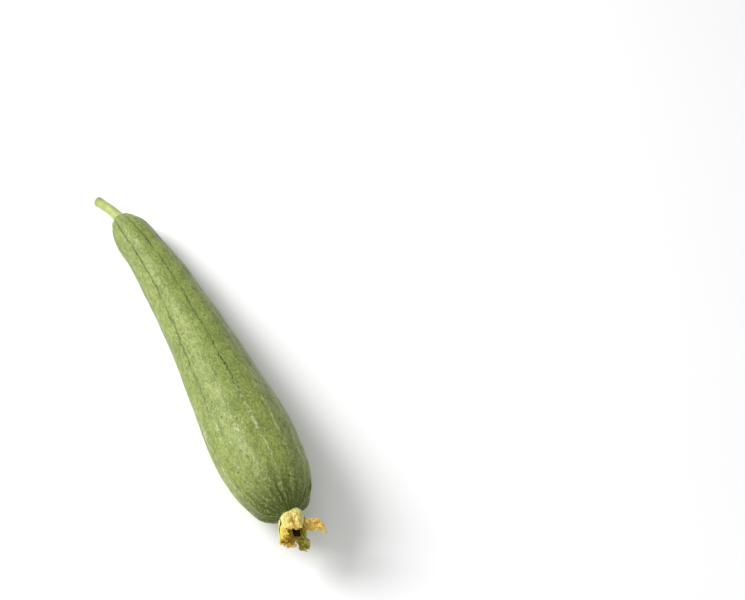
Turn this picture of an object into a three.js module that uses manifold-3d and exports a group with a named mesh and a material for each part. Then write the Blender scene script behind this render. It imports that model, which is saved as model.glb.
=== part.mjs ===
// A sponge gourd (smooth luffa) as picked, lying on a surface, in millimetres with +Z up.
// The fruit lies along X, with its cut stem at -X and its withered flower at +X.
// The origin is on the surface, under the middle of the whole gourd.
import * as THREE from "three";
import { mergeVertices } from "three/addons/utils/BufferGeometryUtils.js";
import Module from "manifold-3d";

// ---- Driving dimensions ----
const FRUIT_LENGTH = 307.4;
const FRUIT_RADIUS = 29.8;
const FLAT_DEPTH = 0.6; // how much the resting underside is pressed flat
const STEM_RADIUS = 3.75;
const CALYX_RADIUS = 9;
const CALYX_VALLEY = 7; // length of the cup up to the notches between its lobes
const CALYX_LOBE = 7; // length of a lobe beyond the notches
const PETAL_THICKNESS = 1;
const GAP = 0.3; // clearance between two pieces that touch
const LOBES = 5;

// Fraction of FRUIT_RADIUS at fractions of FRUIT_LENGTH, from the stem seat to the neck.
const FRUIT_OUTLINE = [
  [0, 0.175],
  [0.01, 0.3],
  [0.032, 0.413],
  [0.07, 0.5],
  [0.138, 0.54],
  [0.236, 0.607],
  [0.35, 0.685],
  [0.48, 0.779],
  [0.61, 0.883],
  [0.714, 0.966],
  [0.792, 1],
  [0.86, 0.963],
  [0.912, 0.872],
  [0.955, 0.7],
  [0.982, 0.47],
  [0.994, 0.25],
  [1, 0.168],
];

// The middle line of the fruit: it bows sideways and climbs as the fruit gets thicker.
const FRUIT_LINE = new THREE.CatmullRomCurve3([
  new THREE.Vector3(0, 0.3, 13.9),
  new THREE.Vector3(47, 5.4, 16.75),
  new THREE.Vector3(98, 7.6, 20.1),
  new THREE.Vector3(148, 7.3, 23.55),
  new THREE.Vector3(198, 5.6, 27.2),
  new THREE.Vector3(248, 3.2, 30.9),
  new THREE.Vector3(FRUIT_LENGTH - 1.5, 1.2, 35),
]);

// ---- Shared shapes ----

// Right-handed axes on a curve: side, along and top, with top as near to +Z as it can be.
function axesAt(curve, distance) {
  const share = THREE.MathUtils.clamp(distance / curve.getLength(), 0, 1);
  const along = curve.getTangentAt(share);
  const side = new THREE.Vector3().crossVectors(along, new THREE.Vector3(0, 0, 1)).normalize();
  const top = new THREE.Vector3().crossVectors(side, along);
  const beyond = distance - share * curve.getLength();
  const origin = curve.getPointAt(share).addScaledVector(along, beyond);
  return new THREE.Matrix4().makeBasis(side, along, top).setPosition(origin);
}

// Moves a geometry that stands along its own Y onto a curve, Y becoming the distance along it.
function bendAlong(geometry, curve) {
  const position = geometry.getAttribute("position");
  const point = new THREE.Vector3();
  for (let i = 0; i < position.count; i += 1) {
    point.fromBufferAttribute(position, i);
    const axes = axesAt(curve, point.y);
    point.setY(0).applyMatrix4(axes);
    position.setXYZ(i, point.x, point.y, point.z);
  }
  return geometry;
}

// A turned solid with a smooth outline of [distance, radius] points, closed flat at both ends.
function turned(outline, rings, segments) {
  const points = outline.map(([distance, radius]) => new THREE.Vector2(radius, distance));
  const wall = new THREE.SplineCurve(points).getPoints(rings);
  const first = new THREE.Vector2(0, wall[0].y);
  const last = new THREE.Vector2(0, wall[wall.length - 1].y);
  return new THREE.LatheGeometry([first, ...wall, last], segments);
}

function closed(geometry) {
  geometry.deleteAttribute("normal");
  geometry.deleteAttribute("uv");
  const welded = mergeVertices(geometry, 1e-4);
  const corners = welded.getIndex().array;
  const kept = [];
  for (let i = 0; i < corners.length; i += 3) {
    const [a, b, c] = corners.slice(i, i + 3);
    if (a !== b && b !== c && c !== a) kept.push(a, b, c);
  }
  welded.setIndex(kept);
  welded.computeVertexNormals();
  return welded;
}

function piece(name, geometry, colour, roughness) {
  const material = new THREE.MeshStandardMaterial({ color: colour, roughness, metalness: 0 });
  const mesh = new THREE.Mesh(closed(geometry), material);
  mesh.name = name;
  return mesh;
}

// ---- Booleans ----
const wasm = await Module();
wasm.setup();

function toSolid(geometry) {
  const welded = closed(geometry);
  const vertProperties = new Float32Array(welded.getAttribute("position").array);
  const triVerts = new Uint32Array(welded.getIndex().array);
  return new wasm.Manifold(new wasm.Mesh({ numProp: 3, vertProperties, triVerts }));
}

function toGeometry(solid) {
  const { vertProperties, triVerts } = solid.getMesh();
  const geometry = new THREE.BufferGeometry();
  geometry.setAttribute("position", new THREE.BufferAttribute(vertProperties, 3));
  geometry.setIndex(new THREE.BufferAttribute(triVerts, 1));
  return geometry;
}

// ---- The fruit ----
// One grown piece. Its underside is trimmed flat, because it lies on it.
function makeFruit() {
  const outline = FRUIT_OUTLINE.map(([part, wide]) => [part * FRUIT_LENGTH, wide * FRUIT_RADIUS]);
  const round = toSolid(bendAlong(turned(outline, 40, 44), FRUIT_LINE));
  const low = round.boundingBox().min[2];
  const slab = new THREE.BoxGeometry(2 * FRUIT_LENGTH, 2 * FRUIT_LENGTH, FRUIT_RADIUS);
  slab.translate(0, 0, low + FLAT_DEPTH - FRUIT_RADIUS / 2);
  const trimmed = round.subtract(toSolid(slab));
  return piece("gourd_body", toGeometry(trimmed), 0x8fa35a, 0.55);
}

// ---- The stem ----
// It leaves its seat straight, then leans to -Y, and flares where it joins the fruit.
function makeStem() {
  const seat = FRUIT_LINE.getPointAt(0);
  const away = FRUIT_LINE.getTangentAt(0).negate();
  const root = seat.clone().addScaledVector(away, GAP);
  const line = new THREE.CatmullRomCurve3([
    root,
    root.clone().addScaledVector(away, 3),
    root.clone().add(new THREE.Vector3(-12, -3.6, 1.2)),
    root.clone().add(new THREE.Vector3(-23, -9, 2)),
  ]);
  const length = line.getLength();
  const outline = [
    [0, 1.3 * STEM_RADIUS],
    [0.06 * length, 1.27 * STEM_RADIUS],
    [0.3 * length, 1.06 * STEM_RADIUS],
    [0.7 * length, 0.98 * STEM_RADIUS],
    [0.97 * length, STEM_RADIUS],
    [length, 0.93 * STEM_RADIUS],
  ];
  return piece("stem", bendAlong(turned(outline, 12, 16), line), 0xbfc57c, 0.6);
}

// ---- The flower ----
// Its middle line leaves the neck straight, then turns to -Y.
function makeFlowerLine() {
  const neck = new THREE.Vector3().setFromMatrixPosition(axesAt(FRUIT_LINE, FRUIT_LENGTH));
  const ahead = FRUIT_LINE.getTangentAt(1);
  const facing = new THREE.Vector3(0.93, -0.37, 0);
  const turn = neck.clone().addScaledVector(ahead, 3);
  return new THREE.CatmullRomCurve3([
    neck.clone().addScaledVector(ahead, GAP),
    turn,
    turn.clone().addScaledVector(facing, 10),
    turn.clone().addScaledVector(facing, 24),
  ]);
}

// Place at an angle, radius and distance round the flower's own Y. Angle 0 is the +Y side of
// the gourd and 90 degrees is the top.
function roundFlower(angle, radius, distance) {
  return new THREE.Vector3(-radius * Math.cos(angle), distance, radius * Math.sin(angle));
}

// How far a point at this angle stands on a lobe: 1 at a lobe's tip, 0 in a notch.
function lobeShare(angle) {
  const turn = (LOBES / 2) * (angle - Math.PI / 2) + Math.PI / 2;
  return Math.cos(turn) ** 2;
}

// The green cup: one turned wall, drawn out into five lobes.
function makeCalyx(line) {
  const rim = CALYX_VALLEY + CALYX_LOBE;
  const outer = [
    [0, 0.5 * CALYX_RADIUS],
    [1.2, 0.68 * CALYX_RADIUS],
    [3, 0.85 * CALYX_RADIUS],
    [6, 0.98 * CALYX_RADIUS],
    [10, CALYX_RADIUS],
    [rim, 0.98 * CALYX_RADIUS],
  ];
  const inner = [
    [rim, 0.88 * CALYX_RADIUS],
    [10, 0.9 * CALYX_RADIUS],
    [6.4, 0.87 * CALYX_RADIUS],
    [4.2, 0.74 * CALYX_RADIUS],
    [3, 0.5 * CALYX_RADIUS],
    [2.6, 0.2 * CALYX_RADIUS],
  ];
  const geometry = turned([...outer, ...inner], 20, 40);
  const position = geometry.getAttribute("position");
  for (let i = 0; i < position.count; i += 1) {
    const angle = Math.atan2(position.getZ(i), -position.getX(i));
    const past = Math.max(0, position.getY(i) - CALYX_VALLEY);
    position.setY(i, position.getY(i) - past * (1 - lobeShare(angle)));
  }
  return piece("calyx", bendAlong(geometry, line), 0xc4c873, 0.6);
}

// Each route holds [distance, radius] points round the flower, from the cup's floor outwards.
const PETALS = [
  { angle: 90, width: 8, colour: 0xe6bd52, route: [[4.6, 4.6], [10, 7], [15, 6.6], [20, 5]] },
  { angle: 20, width: 5.5, colour: 0xcf9a2c, route: [[4.6, 4.6], [11, 6.2], [13.5, 10], [17, 22]] },
  { angle: 306, width: 8, colour: 0xa79a2e, route: [[4.6, 4.6], [10, 6.6], [17, 7.2], [25, 14]] },
  { angle: 234, width: 8, colour: 0xd49a2f, route: [[4.6, 4.6], [10, 6.6], [17, 7.2], [23, 9]] },
  { angle: 162, width: 7.5, colour: 0xdcae3d, route: [[4.6, 4.6], [10, 6.6], [17, 7], [23, 7.2]] },
];

// A petal is a curved strap, narrow at its root and tip, that follows its route.
function makePetal(line, name, { angle, route, width, colour }) {
  const strap = new THREE.BoxGeometry(2, 1, 1, 6, 1, 8);
  const points = route.map(([distance, radius]) => new THREE.Vector2(distance, radius));
  const path = new THREE.SplineCurve(points);
  const position = strap.getAttribute("position");
  for (let i = 0; i < position.count; i += 1) {
    const share = position.getZ(i) + 0.5;
    const middle = path.getPointAt(share);
    const tangent = path.getTangentAt(share);
    const offset = position.getY(i) * PETAL_THICKNESS;
    const radius = middle.y + offset * tangent.x;
    const distance = middle.x - offset * tangent.y;
    const fullness = Math.sin(Math.PI * (0.12 + 0.76 * share)) ** 0.8;
    const turn = (position.getX(i) * width * fullness) / (2 * middle.y);
    const place = roundFlower(THREE.MathUtils.degToRad(angle) - turn, radius, distance);
    position.setXYZ(i, place.x, place.y, place.z);
  }
  return piece(name, bendAlong(strap, line), colour, 0.65);
}

// The dried style with its swollen dark head, standing in the cup.
function makeStigma(line) {
  const outline = [
    [3.1, 1.3],
    [8, 1.4],
    [11, 2.7],
    [14, 3.3],
    [16.5, 2.4],
    [17.3, 0.8],
  ];
  return piece("stigma", bendAlong(turned(outline, 10, 12), line), 0x3a2410, 0.8);
}

// ---- The whole gourd ----
const gourd = new THREE.Group();
const flowerLine = makeFlowerLine();
gourd.add(makeFruit(), makeStem(), makeCalyx(flowerLine), makeStigma(flowerLine));
PETALS.forEach((petal, index) => gourd.add(makePetal(flowerLine, `petal_${index + 1}`, petal)));

// The whole is moved so that the middle of its box, at the surface, is the origin.
const box = new THREE.Box3().setFromObject(gourd);
const middle = box.getCenter(new THREE.Vector3());
gourd.position.set(-middle.x, -middle.y, -box.min.z);
gourd.updateMatrixWorld(true);

export default gourd;
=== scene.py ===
# %% [markdown]
# # A sponge gourd, as picked
# A sponge gourd is the long green fruit of a climbing vine. This one lies on its side with a
# short cut stem at its slim end and a withered yellow flower at its full end. We start from a
# plain, correctly sized model, which gives every piece its place, and put a finely shaped and
# coloured piece over each of its parts. All lengths are in metres.

import math

import bpy
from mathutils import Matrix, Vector, noise


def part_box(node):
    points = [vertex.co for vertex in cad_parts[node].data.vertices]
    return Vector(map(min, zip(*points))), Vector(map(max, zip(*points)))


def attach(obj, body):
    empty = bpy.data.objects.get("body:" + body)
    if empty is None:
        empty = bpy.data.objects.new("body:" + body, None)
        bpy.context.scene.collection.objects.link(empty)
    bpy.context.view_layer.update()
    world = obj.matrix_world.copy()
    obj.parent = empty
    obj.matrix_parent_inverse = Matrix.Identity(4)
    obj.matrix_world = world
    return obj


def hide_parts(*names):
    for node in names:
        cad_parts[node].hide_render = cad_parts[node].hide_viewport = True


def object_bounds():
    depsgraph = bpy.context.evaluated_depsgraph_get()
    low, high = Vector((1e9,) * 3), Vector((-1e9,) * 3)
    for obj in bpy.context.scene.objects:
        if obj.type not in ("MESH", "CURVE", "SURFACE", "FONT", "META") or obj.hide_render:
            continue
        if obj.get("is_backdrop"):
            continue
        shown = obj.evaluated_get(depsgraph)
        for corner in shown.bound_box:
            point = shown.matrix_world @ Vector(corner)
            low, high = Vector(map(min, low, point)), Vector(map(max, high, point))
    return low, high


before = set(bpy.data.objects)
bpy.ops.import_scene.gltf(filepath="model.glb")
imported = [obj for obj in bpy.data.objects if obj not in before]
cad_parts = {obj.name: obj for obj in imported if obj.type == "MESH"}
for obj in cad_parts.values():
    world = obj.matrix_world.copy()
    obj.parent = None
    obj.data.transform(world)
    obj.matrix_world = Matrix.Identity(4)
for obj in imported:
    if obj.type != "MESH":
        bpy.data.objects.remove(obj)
cad_box = [list(corner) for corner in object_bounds()]
bpy.ops.object.select_all(action="DESELECT")
print("plain model box", cad_box)

# %% [markdown]
# ## One ruler for every piece
# The fruit, stem and flower all follow gently bent middle lines. A middle line is a smooth curve
# through a few points, and a piece is described by how far along it a point is and how far out.
# The sizes are the plain model's own, so nothing has to be fitted afterwards.

# %% Driving sizes
MM = 0.001
FRUIT_LENGTH = 307.4 * MM
FRUIT_RADIUS = 29.8 * MM
STEM_RADIUS = 3.75 * MM
CALYX_RADIUS = 9 * MM
CALYX_VALLEY = 4 * MM
CALYX_LOBE = 10 * MM
LOBES = 5
VEINS = 8

# Share of the fruit's length and of its greatest radius, from the stem seat to the neck.
FRUIT_OUTLINE = [
    (0, 0.175), (0.01, 0.3), (0.032, 0.413), (0.07, 0.5), (0.138, 0.54), (0.236, 0.607),
    (0.35, 0.685), (0.48, 0.779), (0.61, 0.883), (0.714, 0.966), (0.792, 1), (0.86, 0.963),
    (0.912, 0.872), (0.955, 0.7), (0.982, 0.47), (0.994, 0.25), (1, 0.168),
]

# The fruit's middle line, in millimetres from the stem seat: it bows to +Y and climbs.
FRUIT_LINE = [
    (0, 0.3, 13.9), (47, 5.4, 16.75), (98, 7.6, 20.1), (148, 7.3, 23.55),
    (198, 5.6, 27.2), (248, 3.2, 30.9), (305.9, 1.2, 35),
]


# %% Smooth curves through a few points
def along_points(points, share):
    """The point at a share of the way along a smooth curve through the points."""
    reach = share * (len(points) - 1)
    start = min(int(reach), len(points) - 2)
    way = reach - start
    before = points[max(start - 1, 0)]
    here = points[start]
    there = points[start + 1]
    after = points[min(start + 2, len(points) - 1)]
    leaving = (there - before) / 2
    arriving = (after - here) / 2
    cubic = 2 * here - 2 * there + leaving + arriving
    square = 3 * there - 3 * here - 2 * leaving - arriving
    return cubic * way**3 + square * way**2 + leaving * way + here


def evenly(points, count):
    """A list of count + 1 points that divides a chain of points into equal lengths."""
    runs = [0.0]
    for first, second in zip(points, points[1:]):
        runs.append(runs[-1] + (second - first).length)
    spaced = []
    segment = 0
    for step in range(count + 1):
        goal = runs[-1] * step / count
        while segment < len(points) - 2 and runs[segment + 1] < goal:
            segment += 1
        width = runs[segment + 1] - runs[segment]
        spaced.append(points[segment].lerp(points[segment + 1], (goal - runs[segment]) / width))
    return spaced


def smooth_line(points, count=240):
    """Evenly spaced points on the smooth curve through the given points."""
    return evenly([along_points(points, step / 600) for step in range(601)], count)


def axes_on(line, distance):
    """Place and directions (side, top, along) at a distance along a smooth line."""
    step = (line[1] - line[0]).length
    index = max(0, min(int(distance / step), len(line) - 2))
    along = (line[index + 1] - line[index]).normalized()
    ahead = (line[min(index + 2, len(line) - 1)] - line[min(index + 1, len(line) - 2)]).normalized()
    way = distance / step - index
    along = along.lerp(ahead, max(0.0, min(1.0, way))).normalized()
    place = line[index] + (line[index + 1] - line[index]) * way
    side = Vector((0, 0, 1)).cross(along).normalized()
    return place, side, along.cross(side), along


def step_up(low, high, value):
    """0 below low, 1 above high and a smooth rise between them."""
    share = max(0.0, min(1.0, (value - low) / (high - low)))
    return share * share * (3 - 2 * share)


def hump(distance, width):
    """1 in the middle and almost nothing past the width."""
    return math.exp(-((distance / width) ** 2))


fruit_line = smooth_line([Vector(point) * MM for point in FRUIT_LINE])
print("middle line points", len(fruit_line))


# %% [markdown]
# ## Turned pieces
# The fruit and the flower cup are round about a middle line and closed at both ends, and their
# ribs, gathers and lobes change all the way along, which no row of extrusions can follow. A sphere
# has just that build: two poles and rings between them. So each starts as a UV sphere with enough
# rings, whose points are then moved onto their places. The sphere also brings a UV map that runs
# once around the piece and once along it, and the veins will use that.

# %% A sphere whose rings are moved onto a shape
def turned(name, segments, rings, place):
    """A closed piece; place(share, angle) gives a point, share running from pole to pole."""
    bpy.ops.object.select_all(action="DESELECT")
    bpy.ops.mesh.primitive_uv_sphere_add(segments=segments, ring_count=rings, radius=1)
    piece = bpy.context.object
    piece.name = name
    piece.data.name = name
    for vertex in piece.data.vertices:
        share = 1 - math.acos(max(-1.0, min(1.0, vertex.co.z))) / math.pi
        angle = math.atan2(vertex.co.y, vertex.co.x)
        vertex.co = place(share, angle)
    bpy.ops.object.shade_smooth()
    return piece


def ring_table(outline, rings):
    """Where each ring of a piece goes: (distance, radius), poles at both ends."""
    curve = [along_points(outline, step / 600) for step in range(601)]
    ends = [Vector((curve[0].x, 0)), *curve, Vector((curve[-1].x, 0))]
    return evenly(ends, rings)


# %% [markdown]
# ## The fruit
# The skin is one grown surface. Eight long veins run from the stem to the flower: in the slim
# half they lie in shallow furrows, and in the full half they stand up a little. The shoulders
# round the stem are ribbed, the skin is gathered into folds at the neck, and the whole is
# slightly uneven. Furrows this small still catch light, so they are real shape here, and only
# what is finer than a millimetre is left to the material.

# %% The fruit's surface
FRUIT_SEGMENTS = 256
FRUIT_RINGS = 380
FIRST_VEIN = math.radians(83)
SWIRL = math.radians(10)
SPREAD = math.radians(11)

outline = [Vector((part * FRUIT_LENGTH, wide * FRUIT_RADIUS)) for part, wide in FRUIT_OUTLINE]
fruit_rings = ring_table(outline, FRUIT_RINGS)


def skin_relief(distance, radius, angle, spot):
    """How far the skin stands proud of the smooth fruit, in millimetres."""
    spacing = 2 * math.pi / VEINS
    off = (angle / spacing + 0.5) % 1 - 0.5
    arc = off * spacing * radius / MM
    slim = 1 - step_up(0.55, 0.68, distance / FRUIT_LENGTH)
    start = step_up(4 * MM, 14 * MM, distance)
    left = FRUIT_LENGTH - distance
    relief = -0.14 * hump(arc, 1.2) * slim * start
    relief += 0.22 * hump(arc, 1.8) * (1 - slim) * step_up(0, 20 * MM, left)
    relief -= 0.22 * math.cos(VEINS * angle) * start
    shoulder = (1 - step_up(2 * MM, 34 * MM, distance)) * step_up(0, 5 * MM, distance)
    relief -= (0.4 * math.cos(VEINS * angle) + 0.45) * shoulder
    relief -= 0.3 * math.cos(2 * VEINS * angle + 1.3) * shoulder
    gather = (1 - step_up(3 * MM, 26 * MM, left)) * step_up(0.5 * MM, 4 * MM, left)
    sway = 1.4 * noise.noise(spot * 60)
    relief -= 0.7 * math.cos(VEINS * angle + sway) * gather
    relief += 0.55 * math.cos(2 * VEINS * angle + sway) * gather
    relief += 0.4 * math.cos(3 * VEINS * angle - 2 * sway) * gather
    calm = step_up(0, 12 * MM, distance) * step_up(0, 10 * MM, left)
    relief += 0.7 * noise.noise(spot * 28) * calm
    relief += 0.28 * noise.noise(spot * 85) * calm
    relief += 0.12 * noise.noise(spot * 260) * calm
    return relief


def fruit_place(share, angle):
    ring = fruit_rings[round(share * FRUIT_RINGS)]
    distance, radius = ring
    drift = SWIRL + SPREAD * math.sin(angle - math.pi / 4)
    turn = angle + FIRST_VEIN + drift * step_up(0.15, 0.6, distance / FRUIT_LENGTH)
    middle, side, top, _ = axes_on(fruit_line, distance)
    out = side * math.cos(turn) + top * math.sin(turn)
    thick = radius
    if radius > 0.5 * MM:
        thick += skin_relief(distance, radius, angle, middle + out * radius) * MM
    return middle + out * thick


fruit = turned("fruit_skin", FRUIT_SEGMENTS, FRUIT_RINGS, fruit_place)
print("fruit faces", len(fruit.data.polygons))

# %% [markdown]
# The fruit is shaped from its own stem seat, so now it is slid into the plain model's box. Its
# underside is pressed flat where it lies, as the weight of a soft fruit presses it, and it ends
# up exactly on the surface.

# %% Put the fruit where the plain model has it
def lowest_and_highest(piece):
    xs, ys, zs = zip(*(vertex.co for vertex in piece.data.vertices))
    return Vector((min(xs), min(ys), min(zs))), Vector((max(xs), max(ys), max(zs)))


low, high = lowest_and_highest(fruit)
cad_low, cad_high = (Vector(corner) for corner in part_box("gourd_body"))
slide = (cad_low + cad_high) / 2 - (low + high) / 2
slide.z = cad_high.z - high.z
for vertex in fruit.data.vertices:
    vertex.co += slide
    vertex.co.z = max(vertex.co.z, 0.0)
fruit_line = [point + slide for point in fruit_line]
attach(fruit, "root")
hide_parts("gourd_body")
print("fruit slid by", [round(part / MM, 2) for part in slide], "mm")

# %% [markdown]
# ## Bars drawn out along a line
# The stem and the stigma are simple bars, so they are made as by hand: a filled circle is
# extruded one step at a time, and after each step its end face is resized and turned to the new
# direction of the line. Both lines turn in the level plane, so each turn is about Z. With no
# window open, the rotate operator turns the other way, which is why its angle is negated.

# %% Extrude a circle step by step
def drawn_out(name, corners, line, stations):
    """A closed bar along a line; each station is a (distance, radius)."""
    bpy.ops.object.select_all(action="DESELECT")
    distance, radius = stations[0]
    place, _, _, along = axes_on(line, distance)
    bpy.ops.mesh.primitive_circle_add(
        vertices=corners,
        radius=radius,
        fill_type="NGON",
        location=place,
        rotation=along.to_track_quat("Z", "Y").to_euler(),
    )
    bar = bpy.context.object
    bar.name = name
    bar.data.name = name
    bpy.ops.object.mode_set(mode="EDIT")
    for distance, next_radius in stations[1:]:
        next_place, _, _, heading = axes_on(line, distance)
        turn = math.atan2(heading.y, heading.x) - math.atan2(along.y, along.x)
        turn = (turn + math.pi) % (2 * math.pi) - math.pi
        growth = next_radius / radius
        step = {"value": next_place - place}
        bpy.ops.mesh.extrude_region_move(TRANSFORM_OT_translate=step)
        bpy.ops.transform.resize(value=(growth, growth, growth), center_override=next_place)
        bpy.ops.transform.rotate(value=-turn, orient_axis="Z", center_override=next_place)
        place, radius, along = next_place, next_radius, heading
    bpy.ops.mesh.select_all(action="SELECT")
    bpy.ops.mesh.normals_make_consistent(inside=False)
    bpy.ops.object.mode_set(mode="OBJECT")
    bpy.ops.object.transform_apply(location=True, rotation=True, scale=True)
    return bar


# %% Raise ribs and finish a bar
def raise_ribs(bar, corners, chosen, height):
    """Push the points of the chosen corners outwards, from end to end."""
    bpy.ops.object.mode_set(mode="EDIT")
    bpy.ops.mesh.select_mode(type="VERT")
    bpy.ops.mesh.select_all(action="DESELECT")
    bpy.ops.object.mode_set(mode="OBJECT")
    for vertex in bar.data.vertices:
        vertex.select = vertex.index % corners in chosen
    bpy.ops.object.mode_set(mode="EDIT")
    bpy.ops.transform.shrink_fatten(value=height)
    bpy.ops.object.mode_set(mode="OBJECT")


def grow_uneven(bar, lump_size, lump_height):
    """Round the bar off and give it the slight lumps of a grown thing."""
    rounding = bar.modifiers.new("rounding", "SUBSURF")
    rounding.levels = 1
    rounding.render_levels = 1
    lumps = bpy.data.textures.new(bar.name + "_lumps", "CLOUDS")
    lumps.noise_scale = lump_size
    swelling = bar.modifiers.new("swelling", "DISPLACE")
    swelling.texture = lumps
    swelling.texture_coords = "LOCAL"
    swelling.strength = lump_height
    bpy.ops.object.modifier_apply(modifier="rounding")
    bpy.ops.object.modifier_apply(modifier="swelling")
    bpy.ops.object.shade_smooth()


# %% [markdown]
# ## The stem
# The stem is a stiff stalk with five soft ribs. It flares where it grows into the fruit and was
# cut with a knife at the other end, so its end is flat with a rounded rim and a sunken middle.
# Every eighth corner of its circle is pushed out a little to raise a rib.

# %% Shape the stem
STEM_CORNERS = 40
seat, _, _, seat_along = axes_on(fruit_line, 0)
stem_points = [
    seat,
    seat - seat_along * 3 * MM,
    seat + Vector((-12.2, -3.6, 1.2)) * MM,
    seat + Vector((-23.6, -9.4, 2)) * MM,
]
stem_line = smooth_line(stem_points, 80)
stem_length = sum((second - first).length for first, second in zip(stem_line, stem_line[1:]))
STEM_OUTLINE = [
    (-0.03, 1.62), (0, 1.5), (0.04, 1.34), (0.12, 1.2), (0.3, 1.08), (0.5, 1.01), (0.7, 1),
    (0.85, 1.02), (0.95, 1.06), (0.985, 1.05), (1, 0.98), (1, 0.88), (0.985, 0.74), (0.97, 0.5),
    (0.975, 0.25),
]
stem_outline = [Vector((part * stem_length, wide * STEM_RADIUS)) for part, wide in STEM_OUTLINE]
stem_stations = evenly([along_points(stem_outline, step / 300) for step in range(301)], 60)
stem = drawn_out("stem_stalk", STEM_CORNERS, stem_line, stem_stations)
raise_ribs(stem, STEM_CORNERS, {0, 8, 16, 24, 32}, 0.3 * MM)
grow_uneven(stem, 9 * MM, 0.5 * MM)
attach(stem, "root")
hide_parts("stem")
print("stem length", round(stem_length / MM, 1), "mm")

# %% [markdown]
# ## The flower cup
# The calyx is a pale green cup with five pointed lobes that hug the petals. It is one wall with
# an outside and an inside, so half of the sphere's rings become the outside and half the inside.
# Pulling the rim back between the lobes gives the five points.

# %% Shape the cup
neck, _, _, ahead = axes_on(fruit_line, FRUIT_LENGTH)
facing = Vector((0.93, -0.37, 0)).normalized()
turn_point = neck + ahead * 3 * MM
flower_points = [neck, turn_point, turn_point + facing * 10 * MM, turn_point + facing * 24 * MM]
flower_line = smooth_line(flower_points, 120)
CUP_RIM = CALYX_VALLEY + CALYX_LOBE
CUP_OUTLINE = [
    (0.1, 0.5), (0.4, 0.66), (1.2, 0.86), (2.6, 0.96), (6, 1), (10, 1), (13.4, 0.98), (14, 0.96),
    (13.6, 0.93), (10, 0.94), (6, 0.93), (3.6, 0.87), (2.6, 0.7), (2.2, 0.2),
]
CUP_RINGS = 120
cup_outline = [Vector((distance * MM, wide * CALYX_RADIUS)) for distance, wide in CUP_OUTLINE]
cup_rings = ring_table(cup_outline, CUP_RINGS)


def lobe_share(angle):
    """1 on the middle of a lobe and 0 in a notch."""
    return math.cos(LOBES / 2 * (angle - math.pi / 2) + math.pi / 2) ** 2


def cup_place(share, angle):
    distance, radius = cup_rings[round(share * CUP_RINGS)]
    past = max(0.0, distance - CALYX_VALLEY)
    lobe = lobe_share(angle)
    distance -= past * (1 - lobe)
    middle, side, top, _ = axes_on(flower_line, distance)
    out = side * math.cos(angle) + top * math.sin(angle)
    high_up = step_up(2 * MM, CUP_RIM, distance)
    fold = 0.05 * (2 * lobe - 1) + 0.02 * math.cos(4 * LOBES * angle)
    wave = 0.09 * noise.noise((middle + out * radius) * 170) * high_up
    lean = 0.06 * high_up * high_up * math.sin(2 * angle + 1)
    return middle + out * radius * (1 + fold + wave + lean)


cup = turned("flower_cup", 160, CUP_RINGS, cup_place)
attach(cup, "root")
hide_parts("calyx")
print("cup faces", len(cup.data.polygons))

# %% [markdown]
# ## The petals
# Each of the five petals is a thin sheet that dried in its own way, so each has its own route,
# width and folds. A grid is bent along its route, gathered into lengthwise pleats, crumpled with
# noise and left ragged at the tip. Then Solidify gives it thickness and Subdivision Surface
# rounds the folds.

# %% The petals' routes and how they dried
# Each petal has its angle round the flower (90 is the top) and half its width, in degrees, how
# many pleats it has and how high they are, how crumpled it is, how far it leans across its own
# length, a number for its noise, and its route: (distance, radius) in millimetres.
PETALS = {
    "petal_1": dict(angle=84, half=42, pleats=5.5, pleat=0.8, crumple=1.6, lean=0, seed=3,
                    route=[(2.2, 4.4), (3, 7.8), (6.6, 10.3), (10.6, 10), (14.2, 8), (14.2, 5.6)]),
    "petal_2": dict(angle=14, half=32, pleats=6, pleat=0.7, crumple=0.8, lean=0.7, seed=11,
                    route=[(4, 4.6), (8, 7), (10, 10.5), (10.5, 15), (12, 19), (17, 22)]),
    "petal_3": dict(angle=314, half=38, pleats=9, pleat=0.75, crumple=1.2, lean=0, seed=23,
                    route=[(4, 4.6), (8, 7.4), (13, 8), (17.5, 9.4), (22, 12.6)]),
    "petal_4": dict(angle=238, half=44, pleats=12, pleat=0.8, crumple=1.4, lean=0, seed=31,
                    route=[(4, 4.6), (8, 7.8), (13, 8.6), (17, 9), (19.2, 8.4), (18.6, 6.2)]),
    "petal_5": dict(angle=164, half=46, pleats=12, pleat=0.8, crumple=1.4, lean=0, seed=47,
                    route=[(4, 4.6), (8, 7.2), (12.5, 7.8), (16.5, 7.6), (18.4, 6.2), (17.8, 4.6)]),
}
PETAL_THICKNESS = 0.4 * MM


def wander(spot, seed):
    """A small push in a direction that changes smoothly from place to place."""
    pushes = [noise.noise(spot + Vector((seed, 40 * axis, seed / 2))) for axis in range(3)]
    return Vector(pushes)


def petal_place(across, share, petal, path):
    """A point of a petal: across runs from -1 to 1, share from root to tip."""
    seed = petal["seed"]
    ragged = 0.14 * noise.noise(Vector((across * 3, seed, 0))) + 0.08 * across * across
    share *= 1 - ragged * share
    distance, radius = along_points(path, min(share, 1.0))
    fullness = math.sin(math.pi * (0.2 + 0.6 * share)) ** 0.6
    half = math.radians(petal["half"]) * 7.4 * MM * fullness
    folds = math.cos(across * petal["pleats"] + 1.3 * math.sin(share * 6 + seed) + seed)
    frill = math.sin(share * 17 + seed + 3 * across) * (0.25 + across * across)
    depth = petal["pleat"] * MM * step_up(0.05, 0.5, share)
    radius += folds * depth + frill * depth
    distance -= petal["lean"] * across * half
    angle = math.radians(petal["angle"])
    angle += across * half * (1 - petal["lean"] / 3) / max(radius, 5.5 * MM)
    middle, side, top, _ = axes_on(flower_line, distance)
    out = side * math.cos(angle) + top * math.sin(angle)
    spot = middle + out * radius
    crease = wander(spot * 330, seed) + wander(spot * 900, seed) * 0.5
    return spot + crease * petal["crumple"] * MM * step_up(0.1, 0.6, share)


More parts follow.
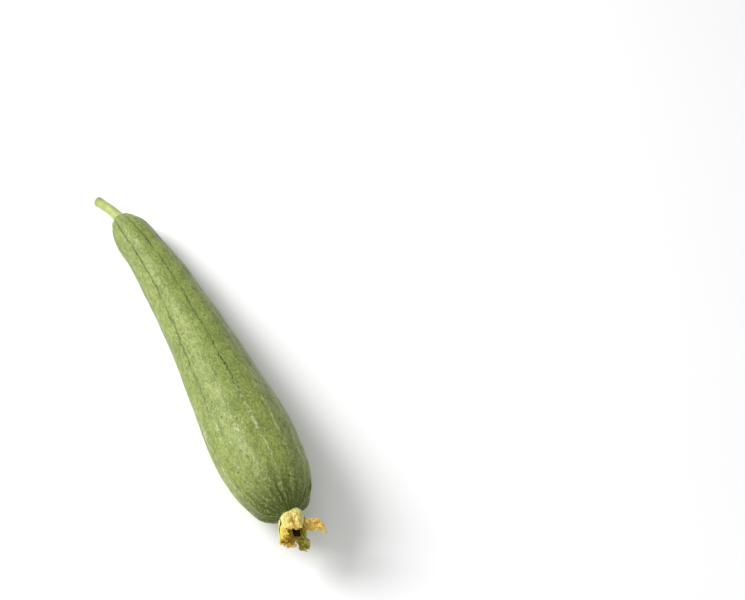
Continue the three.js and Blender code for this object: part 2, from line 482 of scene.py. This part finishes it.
# %% Shape the five petals
def make_petal(node, petal):
    bpy.ops.object.select_all(action="DESELECT")
    bpy.ops.mesh.primitive_grid_add(x_subdivisions=52, y_subdivisions=64, size=2)
    sheet = bpy.context.object
    sheet.name = "withered_" + node
    sheet.data.name = sheet.name
    path = [Vector(point) * MM for point in petal["route"]]
    for vertex in sheet.data.vertices:
        vertex.co = petal_place(vertex.co.x, (vertex.co.y + 1) / 2, petal, path)
    wall = sheet.modifiers.new("wall", "SOLIDIFY")
    wall.thickness = PETAL_THICKNESS
    wall.offset = 0
    rounding = sheet.modifiers.new("rounding", "SUBSURF")
    rounding.levels = 1
    rounding.render_levels = 1
    bpy.ops.object.modifier_apply(modifier="wall")
    bpy.ops.object.modifier_apply(modifier="rounding")
    bpy.ops.object.shade_smooth()
    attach(sheet, "root")
    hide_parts(node)
    return sheet


petals = [make_petal(node, petal) for node, petal in PETALS.items()]
print("petal faces", [len(sheet.data.polygons) for sheet in petals])

# %% [markdown]
# ## The stigma
# The middle of the flower has dried to a dark brown knob with three swollen lobes. Its finish is
# darker still, almost black, as painted shade for the deep opening of the flower round it. It sits
# a little to one side in the flower. It is a bar like the stem, with three wide ribs and deeper
# lumps.

# %% Shape the stigma
STIGMA_CORNERS = 24
STIGMA_OUTLINE = [
    (2.8, 1.4), (6, 1.1), (9, 1.2), (11, 1.8), (13, 2.3), (15, 2.1), (16, 1.3), (16.2, 0.5),
]
lean = axes_on(flower_line, 20 * MM)[1] * 2.6 * MM
stigma_line = [point + lean * step_up(20, 70, index) for index, point in enumerate(flower_line)]
stigma_outline = [Vector(point) * MM for point in STIGMA_OUTLINE]
stigma_stations = evenly([along_points(stigma_outline, step / 300) for step in range(301)], 30)
stigma = drawn_out("dried_stigma", STIGMA_CORNERS, stigma_line, stigma_stations)
raise_ribs(stigma, STIGMA_CORNERS, {23, 0, 1, 7, 8, 9, 15, 16, 17}, 0.45 * MM)
grow_uneven(stigma, 2 * MM, 0.7 * MM)
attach(stigma, "root")
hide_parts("stigma")
print("stigma faces", len(stigma.data.polygons))


# %% [markdown]
# ## Small tools for materials
# Every finish below is built from the same few steps: a cloudy noise, a smooth step between two
# values, a sum, and a mix of two colours. Naming them keeps each material readable. Depths are in
# metres, and a cloud's scale is how many clouds fit in a metre.

# %% Helpers for material nodes
class Finish:
    """A material and short ways to add nodes to it."""

    def __init__(self, name):
        self.material = bpy.data.materials.new(name)
        self.material.use_nodes = True
        self.tree = self.material.node_tree
        self.shader = self.tree.nodes["Principled BSDF"]
        self.spots = self.add("ShaderNodeTexCoord").outputs["Object"]

    def add(self, kind, settings=None, inputs=None):
        made = self.tree.nodes.new(kind)
        for name, value in (settings or {}).items():
            setattr(made, name, value)
        for name, value in (inputs or {}).items():
            self.feed(made.inputs[name], value)
        return made

    def feed(self, socket, value):
        if isinstance(value, bpy.types.NodeSocket):
            self.tree.links.new(value, socket)
        else:
            socket.default_value = value

    def math(self, operation, *values):
        made = self.add("ShaderNodeMath", {"operation": operation})
        for socket, value in zip(made.inputs, values):
            self.feed(socket, value)
        return made.outputs[0]

    def stretch(self, spots, scale):
        inputs = {"Vector": spots, "Scale": scale}
        return self.add("ShaderNodeMapping", inputs=inputs).outputs[0]

    def cloud(self, spots, scale, detail=3.0, roughness=0.55):
        inputs = {"Vector": spots, "Scale": scale, "Detail": detail, "Roughness": roughness}
        return self.add("ShaderNodeTexNoise", inputs=inputs).outputs[0]

    def cells(self, spots, scale):
        return self.add("ShaderNodeTexVoronoi", inputs={"Vector": spots, "Scale": scale})

    def rise(self, value, low, high, start=0.0, end=1.0):
        inputs = {0: value, 1: low, 2: high, 3: start, 4: end}
        made = self.add("ShaderNodeMapRange", {"interpolation_type": "SMOOTHSTEP"}, inputs)
        return made.outputs[0]

    def mix(self, share, first, second):
        made = self.add("ShaderNodeMix", {"data_type": "RGBA"}, {0: share, 6: first, 7: second})
        return made.outputs[2]

    def bump(self, height, depth):
        inputs = {"Height": height, "Distance": depth, "Strength": 1.0}
        return self.add("ShaderNodeBump", inputs=inputs).outputs[0]

    def around_and_along(self, piece):
        layer = self.add("ShaderNodeUVMap", {"uv_map": piece.data.uv_layers[0].name})
        parts = self.add("ShaderNodeSeparateXYZ", inputs={0: layer.outputs[0]})
        return parts.outputs[0], parts.outputs[1]

    def put_on(self, *pieces):
        for piece in pieces:
            piece.data.materials.clear()
            piece.data.materials.append(self.material)


def rgb(red, green, blue):
    return (red, green, blue, 1.0)


# %% [markdown]
# ## The skin
# The skin is a matte green, mottled in patches of yellow-green and darker green a few
# millimetres wide, with a fine grain over it. The veins are thin broken dark lines in the slim
# half and dashed pale lines in the full half. There are small dark pits, pale flecks towards the
# flower, and the neck is deep green. Fine short hairs give the edges a pale bloom, which the
# shader's sheen gives.

# %% Mottled green
skin = Finish("fresh_gourd_skin")
around, along = skin.around_and_along(fruit)
long_spots = skin.stretch(skin.spots, (0.45, 1.0, 1.0))
patches = skin.cloud(skin.spots, 38.0, 4.0, 0.6)
blotches = skin.cloud(long_spots, 200.0, 6.0, 0.7)
grain = skin.cloud(long_spots, 850.0, 3.0, 0.7)

LEAF = rgb(0.182, 0.238, 0.042)
SUNNY = rgb(0.265, 0.32, 0.07)
MOSS = rgb(0.1, 0.145, 0.03)
colour = skin.mix(skin.rise(patches, 0.25, 0.75), LEAF, SUNNY)
dark_share = skin.math("MULTIPLY", skin.rise(blotches, 0.49, 0.66), 0.7)
colour = skin.mix(dark_share, colour, MOSS)
pale_share = skin.math("MULTIPLY", skin.rise(blotches, 0.47, 0.28), 0.5)
colour = skin.mix(pale_share, colour, rgb(0.38, 0.43, 0.15))
pale_grain = skin.math("MULTIPLY", skin.rise(grain, 0.46, 0.35), 0.6)
colour = skin.mix(pale_grain, colour, rgb(0.37, 0.42, 0.13))
grain_share = skin.math("MULTIPLY", skin.rise(grain, 0.5, 0.61), 0.65)
colour = skin.mix(grain_share, colour, rgb(0.12, 0.17, 0.035))
speckles = skin.cloud(skin.stretch(skin.spots, (0.7, 1.0, 1.0)), 560.0, 4.0, 0.7)
speckle_share = skin.math("MULTIPLY", skin.rise(speckles, 0.55, 0.63), 0.75)
colour = skin.mix(speckle_share, colour, rgb(0.075, 0.115, 0.02))

# %% Dark veins in the slim half
spacing = skin.rise(along, 0.0, 0.85, 11.5, 23.5)
sway = skin.math("SUBTRACT", skin.cloud(skin.spots, 75.0, 2.0), 0.5)
shake = skin.math("SUBTRACT", skin.cloud(skin.spots, 420.0, 2.0), 0.5)
offset = skin.math("ADD", skin.math("MULTIPLY", sway, 0.026), skin.math("MULTIPLY", shake, 0.018))
wandering = skin.math("ADD", around, offset)


def distance_to_lines(count, line_spacing):
    """Millimetres from the nearest of count lines that run along the fruit."""
    share = skin.math("FRACT", skin.math("ADD", skin.math("MULTIPLY", wandering, count), 0.5))
    off = skin.math("ABSOLUTE", skin.math("SUBTRACT", share, 0.5))
    return skin.math("MULTIPLY", off, line_spacing)


to_vein = distance_to_lines(float(VEINS), spacing)
breaks = skin.cloud(skin.stretch(skin.spots, (0.35, 1.0, 1.0)), 260.0, 3.0)
slim_half = skin.math("MULTIPLY", skin.rise(along, 0.03, 0.06), skin.rise(along, 0.72, 0.67))
vein = skin.math("MULTIPLY", skin.rise(to_vein, 0.5, 0.1), slim_half)
vein = skin.math("MULTIPLY", vein, skin.rise(breaks, 0.34, 0.46))
halo = skin.math("MULTIPLY", skin.rise(to_vein, 2.6, 0.4), slim_half)
colour = skin.mix(skin.math("MULTIPLY", halo, 0.35), colour, rgb(0.14, 0.19, 0.04))
colour = skin.mix(skin.math("MULTIPLY", vein, 0.86), colour, rgb(0.03, 0.042, 0.004))

# %% Pale dashed veins in the full half
full_half = skin.math("MULTIPLY", skin.rise(along, 0.62, 0.72), skin.rise(along, 0.965, 0.91))
dashes = skin.cloud(skin.stretch(skin.spots, (0.35, 1.0, 1.0)), 460.0, 4.0, 0.75)
half_spacing = skin.math("MULTIPLY", spacing, 0.5)
to_streak = distance_to_lines(2.0 * VEINS, half_spacing)
streak = skin.math("MULTIPLY", skin.rise(to_streak, 1.5, 0.3), full_half)
streak = skin.math("MULTIPLY", streak, skin.rise(dashes, 0.48, 0.58))
colour = skin.mix(skin.math("MULTIPLY", streak, 0.65), colour, rgb(0.54, 0.57, 0.32))

# %% Pits, flecks and the deep green neck
pits = skin.cells(skin.spots, 150.0)
pit = skin.rise(pits.outputs["Distance"], 0.13, 0.07)
pit = skin.math("MULTIPLY", pit, skin.rise(pits.outputs["Color"], 0.45, 0.55))
flecks = skin.cells(skin.stretch(skin.spots, (0.5, 1.0, 1.0)), 330.0)
fleck = skin.rise(flecks.outputs["Distance"], 0.24, 0.1)
fleck = skin.math("MULTIPLY", fleck, skin.rise(flecks.outputs["Color"], 0.45, 0.75))
fleck = skin.math("MULTIPLY", fleck, skin.rise(along, 0.6, 0.88, 0.12, 0.6))
colour = skin.mix(fleck, colour, rgb(0.5, 0.56, 0.26))
colour = skin.mix(skin.math("MULTIPLY", pit, 0.8), colour, rgb(0.035, 0.05, 0.012))

shoulder = skin.rise(along, 0.12, 0.02, 0.0, 0.4)
colour = skin.mix(shoulder, colour, MOSS)
near_neck = skin.math("ADD", along, skin.math("MULTIPLY", sway, 0.06))
neck_share = skin.rise(near_neck, 0.84, 0.965, 0.0, 0.82)
colour = skin.mix(neck_share, colour, rgb(0.055, 0.078, 0.004))
to_fold = distance_to_lines(4.0 * VEINS, skin.rise(along, 0.85, 1.0, 5.0, 1.5))
fold = skin.math("MULTIPLY", skin.rise(to_fold, 0.7, 0.15), skin.rise(near_neck, 0.88, 0.96))
fold = skin.math("MULTIPLY", fold, skin.rise(dashes, 0.56, 0.44))
colour = skin.mix(skin.math("MULTIPLY", fold, 0.65), colour, rgb(0.035, 0.055, 0.004))
flakes = skin.cloud(skin.spots, 950.0, 2.0, 0.6)
crest = skin.math("MULTIPLY", skin.rise(to_fold, 0.35, 0.8), skin.rise(near_neck, 0.82, 0.92))
crest = skin.math("MULTIPLY", crest, skin.rise(flakes, 0.53, 0.62))
colour = skin.mix(skin.math("MULTIPLY", crest, 0.6), colour, rgb(0.4, 0.44, 0.16))
tip_share = skin.rise(near_neck, 0.985, 1.0)
colour = skin.mix(tip_share, colour, rgb(0.3, 0.36, 0.08))
skin.feed(skin.shader.inputs["Base Color"], colour)

# %% Skin relief, gloss and bloom
height = skin.math("ADD", skin.math("MULTIPLY", blotches, 0.5), skin.math("MULTIPLY", grain, 0.35))
height = skin.math("SUBTRACT", height, skin.math("MULTIPLY", vein, 0.5))
height = skin.math("SUBTRACT", height, skin.math("MULTIPLY", pit, 0.8))
height = skin.math("ADD", height, skin.math("MULTIPLY", streak, 0.35))
height = skin.math("ADD", height, skin.math("MULTIPLY", fleck, 0.3))
skin.feed(skin.shader.inputs["Normal"], skin.bump(height, 0.45 * MM))
skin.feed(skin.shader.inputs["Roughness"], skin.rise(blotches, 0.3, 0.7, 0.42, 0.62))
skin.shader.inputs["Specular IOR Level"].default_value = 0.35
skin.shader.inputs["Sheen Weight"].default_value = 0.16
skin.shader.inputs["Sheen Roughness"].default_value = 0.3
skin.shader.inputs["Sheen Tint"].default_value = (0.86, 0.9, 0.8, 1.0)
skin.put_on(fruit)
print("skin nodes", len(skin.tree.nodes))

# %% [markdown]
# ## The stem's finish
# The stalk is yellow-green with fine fibres running along it, greener at its base, and its cut
# end is a little browned at the rim and pale inside.

# %% Stem material
stalk = Finish("fresh_stalk")
tip = stem_points[-1]
stalk_places = stalk.add("ShaderNodeSeparateXYZ", inputs={0: stalk.spots})
stalk_along = stalk.rise(stalk_places.outputs[0], seat.x, tip.x)
fibres = stalk.cloud(stalk.stretch(stalk.spots, (0.15, 1.0, 0.6)), 1500.0, 2.0)
stains = stalk.cloud(stalk.spots, 260.0, 3.0)
stalk_colour = stalk.mix(stalk.rise(stains, 0.35, 0.65), rgb(0.34, 0.4, 0.1), rgb(0.44, 0.48, 0.16))
fibre_share = stalk.math("MULTIPLY", stalk.rise(fibres, 0.5, 0.75), 0.4)
stalk_colour = stalk.mix(fibre_share, stalk_colour, rgb(0.28, 0.34, 0.09))
base_share = stalk.rise(stalk_along, 0.2, 0.0, 0.0, 0.5)
stalk_colour = stalk.mix(base_share, stalk_colour, rgb(0.3, 0.38, 0.1))
rim = stalk.rise(stalk_along, 0.95, 1.0)
stalk_colour = stalk.mix(stalk.math("MULTIPLY", rim, 0.5), stalk_colour, rgb(0.24, 0.24, 0.09))
stalk.feed(stalk.shader.inputs["Base Color"], stalk_colour)
stalk_height = stalk.math("ADD", stalk.math("MULTIPLY", fibres, 0.5), stains)
stalk.feed(stalk.shader.inputs["Normal"], stalk.bump(stalk_height, 0.25 * MM))
stalk.shader.inputs["Roughness"].default_value = 0.5
stalk.shader.inputs["Sheen Weight"].default_value = 0.35
stalk.shader.inputs["Sheen Roughness"].default_value = 0.4
stalk.put_on(stem)

# %% [markdown]
# ## The flower's finishes
# The cup is pale green, greener at its foot, with a fine down. The petals run from butter yellow
# at their roots to orange, with brown, dried edges, fine veins and a little light passing through
# them. The stigma is almost black.

# %% Cup material
cup_finish = Finish("downy_flower_cup")
_, cup_along = cup_finish.around_and_along(cup)
cup_clouds = cup_finish.cloud(cup_finish.spots, 300.0, 4.0)
cup_colour = cup_finish.mix(
    cup_finish.rise(cup_clouds, 0.35, 0.65), rgb(0.46, 0.48, 0.1), rgb(0.7, 0.66, 0.22)
)
foot = cup_finish.rise(cup_along, 0.22, 0.1, 0.0, 0.7)
cup_colour = cup_finish.mix(foot, cup_colour, rgb(0.26, 0.34, 0.06))
cup_finish.feed(cup_finish.shader.inputs["Base Color"], cup_colour)
cup_grain = cup_finish.cloud(cup_finish.stretch(cup_finish.spots, (0.3, 1, 1)), 1400.0, 2.0)
cup_finish.feed(cup_finish.shader.inputs["Normal"], cup_finish.bump(cup_grain, 0.25 * MM))
cup_finish.shader.inputs["Roughness"].default_value = 0.55
cup_finish.shader.inputs["Sheen Weight"].default_value = 0.4
cup_finish.shader.inputs["Sheen Roughness"].default_value = 0.4
cup_finish.put_on(cup)

# %% Petal materials
WARMTH = {
    "petal_1": (rgb(0.9, 0.7, 0.2), rgb(0.86, 0.62, 0.15)),
    "petal_2": (rgb(0.6, 0.42, 0.05), rgb(0.78, 0.5, 0.08)),
    "petal_3": (rgb(0.62, 0.5, 0.02), rgb(0.34, 0.36, 0.03)),
    "petal_4": (rgb(0.8, 0.6, 0.04), rgb(0.74, 0.5, 0.07)),
    "petal_5": (rgb(0.8, 0.64, 0.05), rgb(0.74, 0.52, 0.06)),
}


def petal_finish(node, sheet):
    finish = Finish("withered_yellow_" + node)
    across, share = finish.around_and_along(sheet)
    root, tip = WARMTH[node]
    stains = finish.cloud(finish.spots, 380.0, 4.0, 0.65)
    tone = finish.math("ADD", share, finish.math("MULTIPLY", stains, 0.5))
    shade = finish.mix(finish.rise(tone, 0.35, 1.1), root, tip)
    patches = finish.cloud(finish.spots, 480.0, 2.0, 0.5)
    # Deep gold patches are painted crevice shade, scattered at random over the petal.
    shade = finish.mix(finish.rise(patches, 0.53, 0.68, 0.0, 0.75), shade, rgb(0.4, 0.25, 0.008))
    # Cream-yellow patches are painted highlights, scattered at random over the petal.
    shade = finish.mix(finish.rise(patches, 0.46, 0.32, 0.0, 0.6), shade, rgb(0.95, 0.8, 0.34))
    edge = finish.math("ABSOLUTE", finish.math("SUBTRACT", across, 0.5))
    dried = finish.math("ADD", finish.math("MULTIPLY", edge, 0.9), finish.math("MULTIPLY", stains, 0.6))
    dried = finish.math("ADD", dried, finish.math("MULTIPLY", share, 0.35))
    shade = finish.mix(finish.rise(dried, 1.0, 1.22, 0.0, 0.8), shade, rgb(0.22, 0.1, 0.015))
    ribs = finish.math("SINE", finish.math("MULTIPLY", across, 75.0))
    shade = finish.mix(finish.rise(ribs, 0.4, 1.0, 0.0, 0.3), shade, rgb(0.42, 0.26, 0.02))
    finish.feed(finish.shader.inputs["Base Color"], shade)
    relief = finish.math("ADD", finish.math("MULTIPLY", ribs, 0.25), stains)
    finish.feed(finish.shader.inputs["Normal"], finish.bump(relief, 0.6 * MM))
    finish.shader.inputs["Roughness"].default_value = 0.45
    finish.shader.inputs["Subsurface Weight"].default_value = 0.15
    finish.shader.inputs["Subsurface Radius"].default_value = (0.0015, 0.0009, 0.0003)
    finish.shader.inputs["Subsurface Scale"].default_value = 1.0
    finish.put_on(sheet)


for node, sheet in zip(PETALS, petals):
    petal_finish(node, sheet)

# %% Stigma material
knob = Finish("dark_stigma_and_painted_shade")
knob_clouds = knob.cloud(knob.spots, 900.0, 4.0)
# Dark brown pushed almost to black: painted shade for the flower's deep opening.
stigma_brown_and_painted_shade = knob.mix(knob_clouds, rgb(0.004, 0.002, 0.001), rgb(0.03, 0.012, 0.005))
knob.feed(knob.shader.inputs["Base Color"], stigma_brown_and_painted_shade)
knob.feed(knob.shader.inputs["Normal"], knob.bump(knob_clouds, 0.4 * MM))
knob.shader.inputs["Roughness"].default_value = 0.9
knob.shader.inputs["Specular IOR Level"].default_value = 0.1
knob.put_on(stigma)

# %% [markdown]
# ## The studio
# The gourd lies on a plain white surface under a large soft light from the left and a little
# behind, with even white light all round. The shadow falls softly to the right.

# %% Camera
TARGET = Vector((-8.5, 138.3, 0)) * MM
DISTANCE = 1309.7 * MM
AZIMUTH = math.radians(63.4)
ELEVATION = math.radians(52)
level_back = Vector((math.sin(AZIMUTH), -math.cos(AZIMUTH), 0))
view_right = Vector((math.cos(AZIMUTH), math.sin(AZIMUTH), 0))
view_back = level_back * math.cos(ELEVATION) + Vector((0, 0, math.sin(ELEVATION)))

bpy.ops.object.camera_add(location=TARGET + view_back * DISTANCE)
camera = bpy.context.object
camera.name = "photographer"
camera.rotation_euler = (-view_back).to_track_quat("-Z", "Y").to_euler()
camera.data.lens = 85
camera.data.sensor_width = 36
bpy.context.scene.camera = camera
print("camera at", [round(part, 3) for part in camera.location])

# %% Floor and lights
bpy.ops.mesh.primitive_plane_add(size=8)
floor = bpy.context.object
floor.name = "white_surface"
floor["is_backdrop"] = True
paper = Finish("matte_white_paper")
paper_clouds = paper.cloud(paper.spots, 3.0, 2.0)
paper_white = paper.mix(paper_clouds, (0.9, 0.9, 0.9, 1), (0.93, 0.93, 0.93, 1))
paper.feed(paper.shader.inputs["Base Color"], paper_white)
paper.shader.inputs["Roughness"].default_value = 0.9
paper.shader.inputs["Specular IOR Level"].default_value = 0.1
paper.put_on(floor)


def soft_light(name, right, back, height, size, power):
    """A square light that faces the gourd, placed as the camera sees it."""
    place = view_right * right + level_back * back + Vector((0, 0, height))
    bpy.ops.object.light_add(type="AREA", location=place)
    light = bpy.context.object
    light.name = name
    light.rotation_euler = (-place).to_track_quat("-Z", "Y").to_euler()
    light.data.shape = "SQUARE"
    light.data.size = size
    light.data.energy = power


soft_light("key_window", right=-1.5, back=-0.5, height=1.25, size=1.1, power=50)
soft_light("front_fill", right=0.2, back=1.5, height=1.5, size=1.6, power=10)

world = bpy.data.worlds.new("even_white")
world.use_nodes = True
world.node_tree.nodes["Background"].inputs["Color"].default_value = (1, 1, 1, 1)
world.node_tree.nodes["Background"].inputs["Strength"].default_value = 0.46
bpy.context.scene.world = world
bpy.context.scene.view_settings.view_transform = "Standard"

# %% [markdown]
# ## Sizes of both models
# The size of the plain model and of the finished pieces along each axis is printed side by side.

# %% Sizes of the plain and finished models
new_box = [list(corner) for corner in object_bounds()]
for name, axis in zip("XYZ", range(3)):
    was = cad_box[1][axis] - cad_box[0][axis]
    now = new_box[1][axis] - new_box[0][axis]
    print(name, "size", round(was / MM, 1), "mm in the plain model,", round(now / MM, 1), "mm finished")
